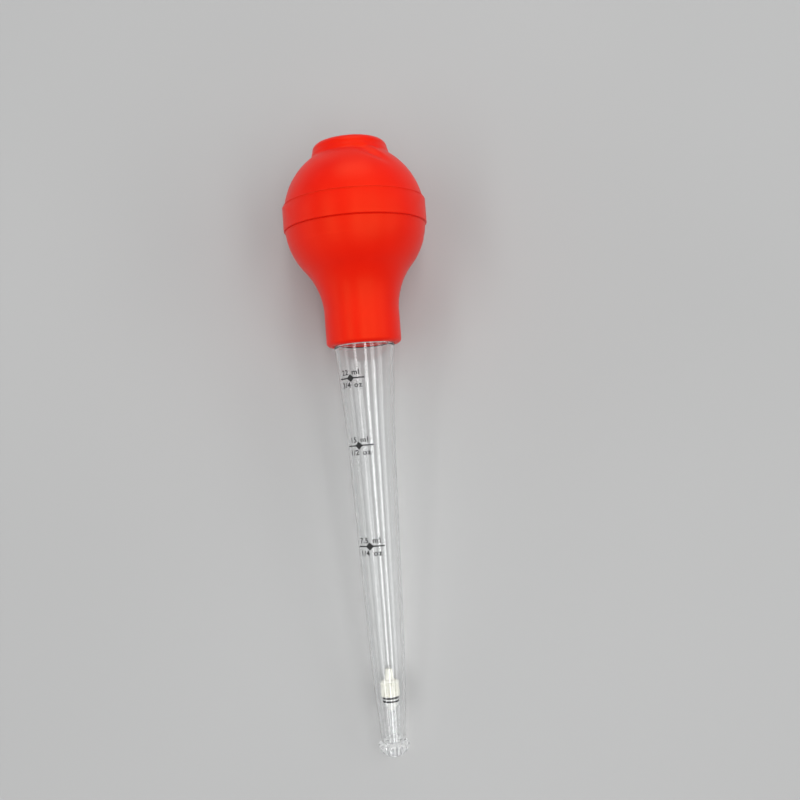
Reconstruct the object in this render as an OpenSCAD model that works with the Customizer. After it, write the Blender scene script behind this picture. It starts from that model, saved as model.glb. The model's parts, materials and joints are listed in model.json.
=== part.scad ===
// Squeeze-bulb pipette filler: a silicone bulb on a graduated tube with a drip-stop valve.
// Every part is drawn round its own axis, tip end at zero and bulb end up, in millimetres.
// lay_down() then lays the assembly on the table, resting on the bulb's belt and the tip knob.

/* [Bulb] */
// Radius of the round chamber
bulb_r = 28.4; // [26:0.1:30]
// Length by which the lower half of the chamber is set below the upper half
bulb_stretch = 3.2; // [1:0.1:5]
// Width of the raised belt round the middle
belt_w = 10.2; // [8:0.1:12]
// Height of the belt above the chamber
belt_proud = 0.5; // [0.2:0.1:1.2]
// Radius of the flat-ended boss on the end
boss_r = 15.2; // [13:0.1:17]
// Height of the boss's flat end above the middle of the upper half
boss_reach = 29.3; // [28.5:0.1:32]
// Outer radius of the neck
neck_r = 15; // [14:0.1:17]
// Radius of the hollow sweep from neck to chamber
flare_r = 28; // [24:0.5:32]
// Thickness of the chamber's wall
bulb_wall = 2.4; // [1.8:0.1:3]
// Depth of the flat that the soft belt presses on the table under its own weight
rest_sag = 0.25; // [0.1:0.05:0.5]

/* [Tube] */
// Length of the tube outside the bulb
tube_len = 156.6; // [140:0.1:170]
// Outer radius where the straight middle stretch begins
tube_r = 7.23; // [6.8:0.01:8]
// Growth of the radius for each millimetre along the middle stretch
tube_taper = 0.0308; // [0.02:0.0001:0.04]
// Thickness of the tube's wall
tube_wall = 1.3; // [1:0.1:1.6]
// Radius of the straight seat in the tip
seat_r = 3.85; // [3.7:0.01:3.9]
// Radius of the spigot that the bulb's neck holds
spigot_r = 11; // [10:0.1:11]
// Length of that spigot
spigot_len = 22; // [15:0.5:26]

/* [Tip knob and stem] */
// Radius of the knob over the corners of its widest ring
knob_r = 6.4; // [5.8:0.1:7]
// Length of the knob below the tube
knob_len = 5.9; // [4.5:0.1:7]
// Number of facets round the knob
knob_facets = 12; // [8:2:12]
// Radius of the channel through knob and stem
channel_r = 0.5; // [0.4:0.05:0.6]
// Length of the stem from the tube's end to the valve
stem_len = 12.1; // [8:0.1:16]

/* [Valve] */
// Outer radius of the ribbed cap, over the ribs
cap_r = 3.65; // [3.4:0.01:3.65]
// Length of the ribbed part of the cap
cap_len = 6.2; // [5.6:0.1:7]
// Number of finger ribs round the cap
cap_ribs = 24; // [16:2:32]
// Radius of the spout above the cap
spout_r = 1.55; // [1.3:0.05:1.8]
// Length of the spout
spout_len = 4.3; // [3:0.1:6]
// Thickness of the silicone slit disc
disc_t = 0.7; // [0.5:0.05:0.9]
// Cord radius of the two black seal rings
seal_cord_r = 0.34; // [0.3:0.01:0.36]

/* [Hidden] */
$fn = 96;
eps = 0.01;
run_fit = 0.05;          // radial clearance between parts that slide or turn on each other

// Stations along the axis, measured from the tip end.
seat_z = knob_len;                          // the tube's end, on the knob's top face
neck_z = seat_z + tube_len;                 // lower edge of the bulb's neck
lip_cover = 0.5;                            // by which the neck's edge covers the shoulder
shoulder_z = neck_z + lip_cover;            // where the tube steps in to its spigot
shoulder_gap = 0.3;                         // between the tube's shoulder and the neck's pocket
hub_z = seat_z + stem_len;                  // lower edge of the valve hub

// Bulb.
neck_lip = 1.8;                             // rounding of the neck's outer edge
boss_round = 3;                             // rounding of the boss's outer edge
belt_edge = 0.3;                            // bevel on the belt's edges
neck_bore_r = spigot_r + run_fit;
pocket_fit = 0.15;                          // radial gap round the shoulder in the neck's mouth
neck_straight = 13.2;                       // length of the neck before it sweeps outwards
flare_z = neck_z + neck_straight;
flare_c = neck_r + flare_r;                 // distance of the sweep's centre from the axis
lower_z = flare_z + sqrt(pow(flare_r + bulb_r, 2) - pow(flare_c, 2));
upper_z = lower_z + bulb_stretch;
belt_z = lower_z - 2.3;                     // lower edge of the belt
belt_r = bulb_r + belt_proud;
boss_z = upper_z + boss_reach;              // the flat end
boss_root = asin((boss_r + 0.6) / bulb_r);  // angle from the axis at which the boss begins
neck_bore_len = spigot_len + 3;             // straight bore above the neck's edge
chamber_r = bulb_r - bulb_wall;
chamber_foot = 48;                          // angle below the middle where the chamber narrows

// Tube: the middle stretch is a plain cone, the tip closes in and the top opens out along
// a parabola each.
low_z = 50;
high_z = 117;
tip_close = 0.00056;
top_open = 0.00073;
seat_depth = 2;                             // length of the straight seat in the tip
tube_steps = 28;                            // rings along the tube's curved profile
shoulder_round = 1.1;
spigot_wall = 1.4;
spigot_bevel = 0.5;

// Tip knob: a cut gem of three faceted rings, then a plug that seats in the tube.
knob_end_r = 2.7;
knob_cheek_r = 4.6;
knob_cheek_z = 1.1;
girdle_z = 4.4;
knob_top_r = 5.3;
plug_len = 1.6;
plug_bevel = 0.3;
stem_foot_r = 1;
stem_top_r = 1.3;
stem_tenon = 3;                             // length of the stem inside the hub

// Valve hub, from its lower edge up: skirt, barrel with two seal grooves, cap spigot.
skirt_r = 1.75;
skirt_len = 2.5;
barrel_r = 2.85;
barrel_len = 2.8;
groove_r = 2.5;
groove_w = 0.7;
seal_lower_z = hub_z + 3.4;
seal_upper_z = hub_z + 4.7;
cap_spigot_r = 2.75;
cap_spigot_len = 3.4;
barrel_z = hub_z + skirt_len;
cap_z = barrel_z + barrel_len;              // the hub's shoulder under the cap
disc_z = cap_z + cap_spigot_len;            // seat of the slit disc
hub_channel_r = 0.7;

// Cap: ribbed skirt, bevelled top, spout.
cap_lift = 0.1;                             // between the cap's edge and the hub's shoulder
disc_gap = 0.1;                             // between the disc and the cap's ceiling
cap_bore_r = cap_spigot_r + run_fit;
cap_top_z = cap_z + cap_lift + cap_len;
cap_bevel = 0.7;
rib_r = 0.34;
rib_end = 0.2;                              // plain edge above and below the ribs
cap_wall_r = cap_r - rib_r / 2;
cap_ceiling_z = disc_z + disc_t + disc_gap;
spout_bore_r = 0.75;
disc_r = 2.6;
slit_len = 2.6;
slit_w = 0.08;

// The resting pose: the belt's pressed flat and two corners of the knob touch the table.
foot_r = knob_r * cos(180 / knob_facets);
rest_r = belt_r - rest_sag;
lie_angle = atan((rest_r - foot_r) / (belt_z + belt_edge - girdle_z));
rest_height = rest_r * cos(lie_angle) - (belt_z + belt_edge) * sin(lie_angle);
back_y = boss_z * cos(lie_angle) + (boss_r - boss_round) * sin(lie_angle);
front_y = -knob_end_r * sin(lie_angle);

// Points of an arc round (cx, cy) from angle a to angle b, in n steps.
function arc(cx, cy, r, a, b, n) =
    [for (i = [0:n]) let (t = a + (b - a) * i / n) [cx + r * cos(t), cy + r * sin(t)]];

// Outer radius of the tube at height z.
function tube_outer(z) =
    tube_r + tube_taper * (z - low_z)
    - tip_close * pow(max(0, low_z - z), 2)
    + top_open * pow(max(0, z - high_z), 2);

// Wall of the tube at height z: it thins out towards the tip.
tip_wall = tube_outer(seat_z) - seat_r;
function wall_at(z) =
    tube_wall + (tip_wall - tube_wall) * max(0, low_z - z) / (low_z - seat_z);

// Half outline of the bulb's outside, from the neck's edge to the flat end.
function bulb_outside() = concat(
    [[0, neck_z]],
    arc(neck_r - neck_lip, neck_z + neck_lip, neck_lip, -90, 0, 6),
    arc(flare_c, flare_z, flare_r, 180, 90 + atan(flare_c / (lower_z - flare_z)), 14),
    arc(0, lower_z, bulb_r, -atan((lower_z - flare_z) / flare_c),
        asin((belt_z - lower_z) / bulb_r), 16),
    [[belt_r - belt_edge, belt_z], [belt_r, belt_z + belt_edge],
     [belt_r, belt_z + belt_w - belt_edge], [belt_r - belt_edge, belt_z + belt_w]],
    arc(0, upper_z, bulb_r, asin((belt_z + belt_w - upper_z) / bulb_r), 90 - boss_root, 16),
    arc(boss_r - boss_round, boss_z - boss_round, boss_round, 0, 90, 8),
    [[0, boss_z]]);

// Half outline of the air chamber inside the bulb, which keeps an even wall.
function chamber() = concat(
    [[0, neck_z + neck_bore_len], [neck_bore_r, neck_z + neck_bore_len]],
    arc(0, lower_z, chamber_r, -chamber_foot, 0, 14),
    arc(0, upper_z, chamber_r, 0, 90, 24));

// Half section of the tube's wall below the spigot, out and back.
function tube_section() = concat(
    [for (i = [0:tube_steps])
        let (z = seat_z + (shoulder_z - shoulder_round - seat_z) * i / tube_steps)
        [tube_outer(z), z]],
    arc(tube_outer(shoulder_z) - shoulder_round, shoulder_z - shoulder_round, shoulder_round,
        15, 90, 5),
    [[spigot_r - spigot_wall, shoulder_z],
     [tube_outer(shoulder_z) - tube_wall, shoulder_z - 2 * tube_wall]],
    [for (i = [tube_steps - 1:-1:1])
        let (z = seat_z + seat_depth
             + (shoulder_z - 2 * tube_wall - seat_z - seat_depth) * i / tube_steps)
        [tube_outer(z) - wall_at(z), z]],
    [[seat_r, seat_z + seat_depth], [seat_r, seat_z]]);

module ring(r_out, r_in, z, h) {
    translate([0, 0, z]) difference() {
        cylinder(r = r_out, h = h);
        translate([0, 0, -eps]) cylinder(r = r_in, h = h + 2 * eps);
    }
}

// Lays a part down with the bulb towards +Y, its box centred on the origin and on the table.
module lay_down() {
    translate([0, -(back_y + front_y) / 2, rest_height])
        rotate([lie_angle - 90, 0, 0])
            children();
}

// The mouth of the neck: a shallow pocket for the tube's shoulder, then the bore for the spigot.
module neck_bore() {
    translate([0, 0, neck_z - eps]) {
        cylinder(r = neck_bore_r, h = neck_bore_len + 2 * eps);
        cylinder(r = tube_outer(shoulder_z) + pocket_fit, h = lip_cover + shoulder_gap + eps);
    }
}

module squeeze_bulb() {
    color("red") difference() {
        lay_down() difference() {
            rotate_extrude() polygon(bulb_outside());
            rotate_extrude() polygon(chamber());
            neck_bore();
        }
        translate([-bulb_r, 0, -bulb_r]) cube([2 * bulb_r, boss_z, bulb_r]);
    }
}

module graduated_tube() {
    color("lightcyan", 0.4) lay_down() union() {
        rotate_extrude() polygon(tube_section());
        ring(spigot_r, spigot_r - spigot_wall, shoulder_z - eps, spigot_len - spigot_bevel + eps);
        rotate_extrude() translate([0, shoulder_z + spigot_len - spigot_bevel])
            polygon([[spigot_r - spigot_wall, -eps], [spigot_r, -eps], [spigot_r, 0],
                     [spigot_r - spigot_bevel, spigot_bevel],
                     [spigot_r - spigot_wall, spigot_bevel]]);
    }
}

// One faceted ring of the knob, turned by half a facet where half is 1.
module facet_ring(r, z, half) {
    rotate([0, 0, (0.5 + half * 0.5) * 360 / knob_facets + 90])
        translate([0, 0, z]) cylinder(r = r, h = eps, $fn = knob_facets);
}

module knob() {
    hull() {
        facet_ring(knob_end_r, 0, 1);
        facet_ring(knob_cheek_r, knob_cheek_z, 0);
        facet_ring(knob_r, girdle_z, 0);
        facet_ring(knob_top_r, knob_len - eps, 1);
    }
}

// Half outline of the plug, the tapered stem and the stem's end inside the hub.
function stem_section() = [
    [0, seat_z - 1], [seat_r - run_fit, seat_z - 1],
    [seat_r - run_fit, seat_z + plug_len - plug_bevel],
    [seat_r - run_fit - plug_bevel, seat_z + plug_len],
    [stem_foot_r, seat_z + plug_len],
    [stem_top_r, hub_z], [stem_top_r, hub_z + stem_tenon], [0, hub_z + stem_tenon]];

module tip_nozzle() {
    color("azure", 0.5) lay_down() difference() {
        union() {
            knob();
            rotate_extrude() polygon(stem_section());
        }
        translate([0, 0, -1]) cylinder(r = channel_r, h = hub_z + 2);
        translate([0, 0, hub_z]) cylinder(r = hub_channel_r, h = stem_tenon + 1);
    }
}

// Half section of the hub: socket and skirt, barrel with two seal grooves, cap spigot, channel.
function groove(z) = [
    [barrel_r, z - groove_w / 2], [groove_r, z - groove_w / 2],
    [groove_r, z + groove_w / 2], [barrel_r, z + groove_w / 2]];
function hub_section() = concat(
    [[stem_top_r, hub_z], [skirt_r, hub_z], [barrel_r, barrel_z]],
    groove(seal_lower_z), groove(seal_upper_z),
    [[barrel_r, cap_z], [cap_spigot_r, cap_z], [cap_spigot_r, disc_z],
     [hub_channel_r, disc_z], [hub_channel_r, hub_z + stem_tenon],
     [stem_top_r, hub_z + stem_tenon]]);

module valve_hub() {
    color("white") lay_down() rotate_extrude() polygon(hub_section());
}

// A rubber ring with a round cord, seated in a groove of the hub.
module seal_ring(z) {
    translate([0, 0, z]) rotate_extrude()
        translate([groove_r + seal_cord_r + eps, 0]) circle(r = seal_cord_r, $fn = 32);
}

module seal_ring_lower() {
    color("black") lay_down() seal_ring(seal_lower_z);
}

module seal_ring_upper() {
    color("black") lay_down() seal_ring(seal_upper_z);
}

// A soft disc with a crossed slit, which stays shut until the bulb is squeezed or released.
module valve_disc() {
    color("gainsboro") lay_down() translate([0, 0, disc_z]) difference() {
        cylinder(r = disc_r, h = disc_t);
        for (turn = [0, 90])
            rotate([0, 0, turn]) translate([-slit_len / 2, -slit_w / 2, -eps])
                cube([slit_len, slit_w, disc_t + 2 * eps]);
    }
}

// Half section of the cap: skirt, bevelled top, spout, and the bore that takes hub and disc.
function cap_section() = [
    [cap_bore_r, cap_z + cap_lift], [cap_wall_r, cap_z + cap_lift],
    [cap_wall_r, cap_top_z - cap_bevel], [cap_wall_r - cap_bevel, cap_top_z],
    [spout_r, cap_top_z], [spout_r, cap_top_z + spout_len],
    [spout_bore_r, cap_top_z + spout_len], [spout_bore_r, cap_ceiling_z],
    [cap_bore_r, cap_ceiling_z]];

module valve_cap() {
    color("ivory") lay_down() union() {
        rotate_extrude() polygon(cap_section());
        for (i = [0:cap_ribs - 1])
            rotate([0, 0, i * 360 / cap_ribs])
                translate([cap_r - rib_r, 0, cap_z + cap_lift + rib_end])
                    cylinder(r = rib_r, h = cap_len - cap_bevel - 2 * rib_end, $fn = 16);
    }
}

squeeze_bulb();
graduated_tube();
tip_nozzle();
valve_hub();
seal_ring_lower();
seal_ring_upper();
valve_disc();
valve_cap();
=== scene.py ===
"""Looks of a squeeze-bulb filler: silicone bulb, clear graduated tube, drip-stop valve.

Every piece is drawn in millimetres round the object's own axis and is then placed in the
shared frame by `Axis.place`. A station is a distance along that axis from the tip end.
"""
import json
import logging
import math
from dataclasses import dataclass
from enum import Enum
from typing import Callable, Sequence

import bpy
import numpy as np
from mathutils import Matrix, Vector


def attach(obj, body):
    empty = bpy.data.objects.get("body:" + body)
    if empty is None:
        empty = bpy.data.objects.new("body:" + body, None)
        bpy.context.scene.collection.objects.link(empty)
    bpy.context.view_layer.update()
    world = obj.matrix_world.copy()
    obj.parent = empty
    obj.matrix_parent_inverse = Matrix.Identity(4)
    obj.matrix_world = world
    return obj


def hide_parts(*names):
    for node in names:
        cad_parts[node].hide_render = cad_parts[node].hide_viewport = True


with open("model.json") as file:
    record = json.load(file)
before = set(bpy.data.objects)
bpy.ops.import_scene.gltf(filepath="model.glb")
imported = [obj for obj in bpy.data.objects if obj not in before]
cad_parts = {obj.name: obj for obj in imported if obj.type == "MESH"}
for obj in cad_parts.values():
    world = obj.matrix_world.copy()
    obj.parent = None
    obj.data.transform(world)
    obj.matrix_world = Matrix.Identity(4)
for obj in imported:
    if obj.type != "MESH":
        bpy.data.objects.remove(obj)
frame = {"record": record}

LOG = logging.getLogger("squeeze_filler")
MM = 0.001
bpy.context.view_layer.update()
EDGE = 0.1  # a small broken edge, in millimetres
SLACK = 0.01  # an allowance where stations are compared, in millimetres

Array = np.ndarray
Swell = Callable[[Array, Array, Array], tuple[Array, Array]]


# ---------------------------------------------------------------- the axis and its surfaces

@dataclass(frozen=True)
class Axis:
    """The object's own axis in the shared frame.

    Attributes:
        tip: point of the axis at station zero, in metres.
        along: unit vector from the tip to the bulb.
        across: unit vector to the right, seen from above with the bulb at the top.
        up: unit vector square to both, away from the table.
    """

    tip: Array
    along: Array
    across: Array
    up: Array

    @classmethod
    def from_record(cls, record: dict, outlet_station: float = 2.0) -> "Axis":
        """Reads the axis from the record's mounts.

        Args:
            record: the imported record.
            outlet_station: station of the outlet mount's point, in millimetres.

        Returns:
            The axis.
        """
        mounts = {mount["name"]: mount for mount in record["mounts"]}
        along = np.array(mounts["boss_face"]["axis"], float)
        along /= np.linalg.norm(along)
        across = np.array([1.0, 0.0, 0.0])
        tip = np.array(mounts["outlet"]["pos_m"], float) - outlet_station * MM * along
        return cls(tip, along, across, np.cross(across, along))

    def place(self, theta: Array, radius: Array, station: Array) -> Array:
        """Turns polar places round the axis into points of the shared frame.

        The point is the axis at the station, plus the radius along the direction that
        starts upwards and turns towards `across` by the angle.

        Args:
            theta: angles in radians.
            radius: distances from the axis in millimetres.
            station: stations in millimetres.

        Returns:
            An array of points in metres, one row each.
        """
        theta, radius, station = np.broadcast_arrays(theta, radius, station)
        rise = (radius * np.cos(theta)).ravel()[:, None]
        side = (radius * np.sin(theta)).ravel()[:, None]
        run = station.ravel()[:, None]
        return self.tip + MM * (rise * self.up + side * self.across + run * self.along)

    def point(self, theta_deg: float, radius: float, station: float) -> Vector:
        """Gives one such point as a Blender vector, from an angle in degrees."""
        return Vector(self.place(np.radians(theta_deg), radius, station)[0])

    @property
    def lie_angle(self) -> float:
        """Angle between the axis and the table, in radians."""
        return math.asin(self.along[2])


class Ends(Enum):
    """How a revolved profile ends."""

    POLES = "both ends lie on the axis"
    LOOP = "the last point joins the first"


def arc(centre_r: float, centre_z: float, radius: float, start: float, stop: float,
        steps: int) -> Array:
    """Points of an arc: centre plus radius times cosine and sine of an even run of angles.

    Args:
        centre_r: distance of the centre from the axis.
        centre_z: station of the centre.
        radius: radius of the arc.
        start: first angle in degrees, zero pointing away from the axis.
        stop: last angle in degrees.
        steps: number of equal steps.

    Returns:
        Rows of radius and station.
    """
    angle = np.radians(np.linspace(start, stop, steps + 1))
    return np.column_stack([centre_r + radius * np.cos(angle),
                            centre_z + radius * np.sin(angle)])


def smooth_step(low: float, high: float, value: Array) -> Array:
    """Rises from 0 at low to 1 at high along three x squared minus two x cubed."""
    x = np.clip((value - low) / (high - low), 0.0, 1.0)
    return x * x * (3.0 - 2.0 * x)


def thicken(points: Array, longest: float) -> Array:
    """Adds points so that no step of a profile is longer than a given length.

    Each step is cut into equal parts, as many as the length needs.

    Args:
        points: rows of radius and station.
        longest: the longest step wanted.

    Returns:
        The longer list of rows.
    """
    steps = np.diff(points, axis=0)
    counts = np.maximum(1, np.ceil(np.hypot(*steps.T) / longest).astype(int))
    rows = np.repeat(np.arange(len(counts)), counts)
    within = np.arange(counts.sum()) - np.repeat(np.cumsum(counts) - counts, counts)
    share = (within / counts[rows])[:, None]
    return np.vstack([points[rows] + share * steps[rows], points[-1:]])


def revolve(axis: Axis, profile: Array, segments: int, ends: Ends,
            swell: Swell | None = None) -> tuple[Array, list]:
    """Carries a profile round the axis.

    The surface is a function of two parameters on a grid: row i is a point of the profile,
    column j is an angle, and the point lies at the profile's radius in that direction.
    A profile that runs with its material on the axis side gives faces that look outwards.

    Args:
        axis: the object's axis.
        profile: rows of radius and station in millimetres.
        segments: number of columns.
        ends: how the profile ends.
        swell: optional change of the grid's radii and stations, given angle, radius, station.

    Returns:
        The points in metres, and the faces as lists of point numbers.
    """
    rows = profile if ends is Ends.LOOP else profile[1:-1]
    theta = np.linspace(math.pi, 3.0 * math.pi, segments, endpoint=False)
    angle, radius = np.meshgrid(theta, rows[:, 0])
    station = np.broadcast_to(rows[:, 1:2], radius.shape)
    if swell is not None:
        radius, station = swell(angle, radius, station)
    points = axis.place(angle, radius, station)
    count = len(rows)
    row = np.arange(count if ends is Ends.LOOP else count - 1)[:, None]
    here = np.arange(segments)[None, :]
    following = (here + 1) % segments
    above = (row + 1) % count
    quads = np.stack([row * segments + here, row * segments + following,
                      above * segments + following, above * segments + here], axis=-1)
    faces = quads.reshape(-1, 4).tolist()
    if ends is Ends.POLES:
        poles = axis.place(0.0, 0.0, profile[[0, -1], 1])
        first, last = len(points), len(points) + 1
        points = np.vstack([points, poles])
        ring = np.arange(segments)
        after = (ring + 1) % segments
        top = (count - 1) * segments
        faces += np.column_stack([np.full(segments, first), after, ring]).tolist()
        faces += np.column_stack([top + ring, top + after, np.full(segments, last)]).tolist()
    return points, faces


def make_piece(name: str, points: Array, faces: Sequence, smooth: bool = True,
               sharp_deg: float = 180.0) -> bpy.types.Object:
    """Makes an object at the origin from points and faces.

    Args:
        name: the piece's name.
        points: rows of x, y, z in metres.
        faces: lists of point numbers.
        smooth: whether the faces are shaded smooth.
        sharp_deg: edges that turn by more than this stay sharp.

    Returns:
        The new object, linked to the scene.
    """
    mesh = bpy.data.meshes.new(name)
    mesh.from_pydata(points.tolist(), [], faces)
    mesh.validate()
    mesh.polygons.foreach_set("use_smooth", np.full(len(mesh.polygons), smooth))
    if smooth and sharp_deg < 180.0:
        mesh.set_sharp_from_angle(angle=math.radians(sharp_deg))
    mesh.update()
    piece = bpy.data.objects.new(name, mesh)
    bpy.context.scene.collection.objects.link(piece)
    return piece


# ---------------------------------------------------------------- finishes

class Graph:
    """Short calls for building one material's nodes."""

    def __init__(self, name: str) -> None:
        """Starts a material with only its Principled shader.

        Args:
            name: the material's name.
        """
        self.material = bpy.data.materials.new(name)
        self.material.use_nodes = True
        self.tree = self.material.node_tree
        self.shader = self.tree.nodes["Principled BSDF"]

    def node(self, kind: str, **settings: object) -> bpy.types.Node:
        """Adds a node and sets its own properties.

        Args:
            kind: the node's type name.
            settings: the properties by name.

        Returns:
            The new node.
        """
        node = self.tree.nodes.new(kind)
        for key, value in settings.items():
            setattr(node, key, value)
        return node

    def join(self, source: bpy.types.NodeSocket, target: bpy.types.NodeSocket) -> None:
        """Links two sockets."""
        self.tree.links.new(source, target)

    def fix(self, **sockets: object) -> None:
        """Sets constant values on the shader's own sockets, named with _ for a space."""
        for key, value in sockets.items():
            self.shader.inputs[key.replace("_", " ")].default_value = value

    def coordinates(self, turn: float = 0.0,
                    stretch: tuple[float, float, float] = (1, 1, 1)) -> bpy.types.NodeSocket:
        """Gives object coordinates, turned about X and stretched.

        Args:
            turn: angle in radians that lays the object's own axis along Y.
            stretch: factors on the turned coordinates.

        Returns:
            The vector socket.
        """
        source = self.node("ShaderNodeTexCoord")
        turned = self.node("ShaderNodeMapping")
        turned.inputs["Rotation"].default_value = (-turn, 0.0, 0.0)
        scaled = self.node("ShaderNodeMapping")
        scaled.inputs["Scale"].default_value = stretch
        self.join(source.outputs["Object"], turned.inputs["Vector"])
        self.join(turned.outputs["Vector"], scaled.inputs["Vector"])
        return scaled.outputs["Vector"]

    def noise(self, vector: bpy.types.NodeSocket, scale: float, detail: float = 3.0,
              roughness: float = 0.5) -> bpy.types.NodeSocket:
        """Gives a noise pattern.

        Args:
            vector: the place at which the pattern is read.
            scale: cells for each metre.
            detail: number of finer layers.
            roughness: weight of the finer layers.

        Returns:
            The pattern's socket.
        """
        node = self.node("ShaderNodeTexNoise")
        node.inputs["Scale"].default_value = scale
        node.inputs["Detail"].default_value = detail
        node.inputs["Roughness"].default_value = roughness
        self.join(vector, node.inputs["Vector"])
        return node.outputs["Fac"]

    def spread(self, value: bpy.types.NodeSocket, low: float, high: float,
               start: float = 0.3, stop: float = 0.7) -> bpy.types.NodeSocket:
        """Maps a pattern's middle range evenly onto the values low to high.

        Args:
            value: the pattern.
            low: value where the pattern is at its lower level or below.
            high: value where the pattern is at its upper level or above.
            start: the lower level.
            stop: the upper level.

        Returns:
            The socket with the new values.
        """
        node = self.node("ShaderNodeMapRange")
        for key, number in (("From Min", start), ("From Max", stop),
                            ("To Min", low), ("To Max", high)):
            node.inputs[key].default_value = number
        self.join(value, node.inputs["Value"])
        return node.outputs["Result"]

    def tint(self, value: bpy.types.NodeSocket, stops: Sequence[tuple]) -> None:
        """Colours the shader by a ramp.

        Args:
            value: the pattern that picks the colour.
            stops: pairs of place and colour, in rising order.
        """
        ramp = self.node("ShaderNodeValToRGB")
        elements = ramp.color_ramp.elements
        for element, (place, colour) in zip(list(elements), (stops[0], stops[-1])):
            element.position, element.color = place, (*colour, 1.0)
        for place, colour in stops[1:-1]:
            elements.new(place).color = (*colour, 1.0)
        self.join(value, ramp.inputs["Fac"])
        self.join(ramp.outputs["Color"], self.shader.inputs["Base Color"])

    def let_light_through(self, tint: tuple[float, float, float]) -> None:
        """Lets lamps shine straight through clear plastic, so that its shadow stays pale.

        Args:
            tint: colour of the light that arrives behind one wall.
        """
        ray = self.node("ShaderNodeLightPath")
        passing = self.node("ShaderNodeBsdfTransparent")
        passing.inputs["Color"].default_value = (*tint, 1.0)
        mix = self.node("ShaderNodeMixShader")
        self.join(ray.outputs["Is Shadow Ray"], mix.inputs["Fac"])
        self.join(self.shader.outputs["BSDF"], mix.inputs[1])
        self.join(passing.outputs["BSDF"], mix.inputs[2])
        self.join(mix.outputs["Shader"], self.tree.nodes["Material Output"].inputs["Surface"])

    def bump(self, heights: Sequence[tuple[bpy.types.NodeSocket, float]]) -> None:
        """Adds bumps one on another.

        Args:
            heights: patterns, each with the height in metres that its full range stands for.
        """
        normal = None
        for pattern, height in heights:
            node = self.node("ShaderNodeBump")
            node.inputs["Strength"].default_value = 1.0
            node.inputs["Distance"].default_value = height
            self.join(pattern, node.inputs["Height"])
            if normal is not None:
                self.join(normal, node.inputs["Normal"])
            normal = node.outputs["Normal"]
        self.join(normal, self.shader.inputs["Normal"])


@dataclass(frozen=True)
class SiliconeFinish:
    """Moulded silicone: even colour with faint mottling, soft gloss, fine grain.

    Attributes:
        name: the material's name.
        deep: colour in the darker patches.
        full: colour in the lighter patches.
        roughness: least and greatest roughness.
        glow: share of light that passes under the skin.
        gloss: strength of the reflection, where 0.5 is the plain value.
        shine: colour of the reflection.
        clouds: cells for each metre of the mottling.
        dimples: cells for each metre of the shallow dimples, and their depth in metres.
        grain: cells for each metre of the fine grain, and its depth in metres.
        ior: index of refraction.
        glow_depth: how deep the light goes under the skin, in metres.
        glow_share: how much of that depth red, green and blue light reach.
    """

    name: str
    deep: tuple[float, float, float]
    full: tuple[float, float, float]
    roughness: tuple[float, float] = (0.42, 0.56)
    glow: float = 0.12
    gloss: float = 0.35
    shine: tuple[float, float, float] = (1.0, 1.0, 1.0)
    clouds: float = 45.0
    dimples: tuple[float, float] = (130.0, 0.00006)
    grain: tuple[float, float] = (2600.0, 0.00001)
    ior: float = 1.42
    glow_depth: float = 0.002
    glow_share: tuple[float, float, float] = (1.0, 0.12, 0.06)

    def build(self) -> bpy.types.Material:
        """Builds the material: cloudy tint, cloudy roughness, grain and dimple bumps.

        Returns:
            The material.
        """
        graph = Graph(self.name)
        place = graph.coordinates()
        clouds = graph.noise(place, self.clouds, 4.0)
        grain = graph.noise(place, self.grain[0], 2.0, 0.6)
        dimples = graph.noise(place, self.dimples[0], 2.0)
        graph.tint(clouds, [(0.3, self.deep), (0.7, self.full)])
        graph.join(graph.spread(clouds, *self.roughness), graph.shader.inputs["Roughness"])
        graph.bump([(dimples, self.dimples[1]), (grain, self.grain[1])])
        graph.fix(IOR=self.ior, Subsurface_Weight=self.glow, Subsurface_Scale=self.glow_depth,
                  Subsurface_Radius=self.glow_share, Specular_IOR_Level=self.gloss,
                  Specular_Tint=(*self.shine, 1.0))
        return graph.material


@dataclass(frozen=True)
class ClearPlasticFinish:
    """Clear moulded plastic with faint flow lines and handling marks.

    Attributes:
        name: the material's name.
        tint: colour of light that passes through.
        turn: angle in radians that lays the object's axis along Y.
        ior: index of refraction.
        haze: least and greatest roughness.
        flow: height of the flow lines in metres.
        lines: cells for each metre across the flow lines, and their stretch along the axis.
        smudges: cells for each metre across the smudges, and their stretch along the axis.
        wiped: levels of the smudges at which the haze is least and greatest.
        milk: share of light that the plastic scatters instead of letting it through.
        shade: share of lamp light that goes straight through one surface.
    """

    name: str
    tint: tuple[float, float, float]
    turn: float
    ior: float = 1.5
    haze: tuple[float, float] = (0.015, 0.09)
    flow: float = 0.0000015
    lines: tuple[float, float] = (420.0, 0.03)
    smudges: tuple[float, float] = (120.0, 0.35)
    wiped: tuple[float, float] = (0.45, 0.75)
    milk: float = 0.0
    shade: tuple[float, float, float] = (0.84, 0.84, 0.84)

    def build(self) -> bpy.types.Material:
        """Builds the material: lines stretched along the axis, smudges in the roughness.

        Returns:
            The material.
        """
        graph = Graph(self.name)
        (fine, drawn), (broad, long) = self.lines, self.smudges
        lines = graph.noise(graph.coordinates(self.turn, (1.0, drawn, 1.0)), fine, 3.0, 0.55)
        smudges = graph.noise(graph.coordinates(self.turn, (1.0, long, 1.0)), broad, 5.0, 0.6)
        graph.join(graph.spread(smudges, *self.haze, *self.wiped),
                   graph.shader.inputs["Roughness"])
        graph.bump([(lines, self.flow)])
        graph.fix(Base_Color=(*self.tint, 1.0), IOR=self.ior,
                  Transmission_Weight=1.0 - self.milk)
        graph.let_light_through(self.shade)
        return graph.material


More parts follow.
